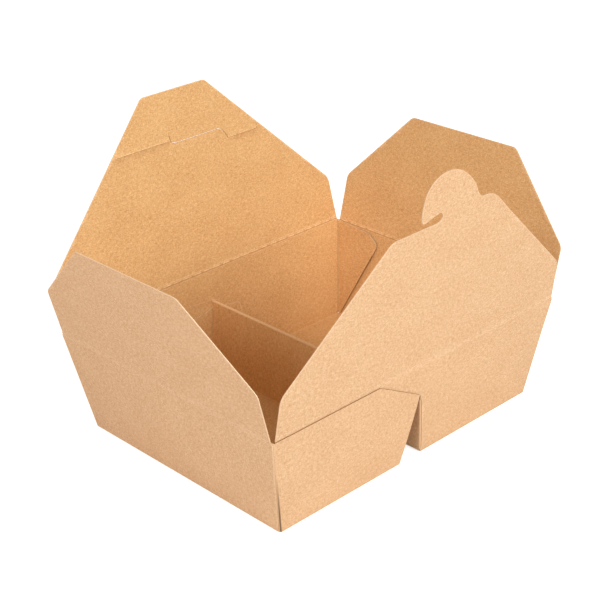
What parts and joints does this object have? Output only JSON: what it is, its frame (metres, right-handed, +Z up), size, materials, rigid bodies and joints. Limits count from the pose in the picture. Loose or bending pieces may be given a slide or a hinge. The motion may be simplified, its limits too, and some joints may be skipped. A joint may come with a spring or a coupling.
{
  "type": "takeaway box",
  "caption": "Open takeaway box folded from kraft card, with a pitched divider between equal compartments and hinged flaps that close over the top with a hooked tongue and slot.",
  "frame": {"origin": "middle of the open box's footprint, flaps included, at the level of the floor's underside", "axes": "+X along the long walls, with the front flap and its tongue towards -Y; +Z up"},
  "size_m": [0.2656, 0.2232, 0.1823],
  "materials": {
    "kraft_card": "matte uncoated kraft"
  },
  "bodies": {
    "tray": {"tray": "kraft_card"},
    "front_flap": {"front_flap": "kraft_card"},
    "back_flap": {"back_flap": "kraft_card"},
    "left_end_flap": {"left_end_flap": "kraft_card"},
    "right_end_flap": {"right_end_flap": "kraft_card"}
  },
  "joints": [
    {"name": "front_fold", "type": "hinge", "parent": "tray", "child": "front_flap", "pos_m": [-0.00188, -0.09282, 0.065], "axis": [-1, 0, 0], "range_deg": [-40, 99]},
    {"name": "back_fold", "type": "hinge", "parent": "tray", "child": "back_flap", "pos_m": [-0.00188, 0.08568, 0.065], "axis": [1, 0, 0], "range_deg": [-35, 104.2]},
    {"name": "left_end_fold", "type": "hinge", "parent": "tray", "child": "left_end_flap", "pos_m": [-0.1154, -0.00357, 0.0637], "axis": [0, 1, 0], "range_deg": [-40, 105.6]},
    {"name": "right_end_fold", "type": "hinge", "parent": "tray", "child": "right_end_flap", "pos_m": [0.11164, -0.00357, 0.0637], "axis": [0, -1, 0], "range_deg": [-40, 107.3]}
  ]
}
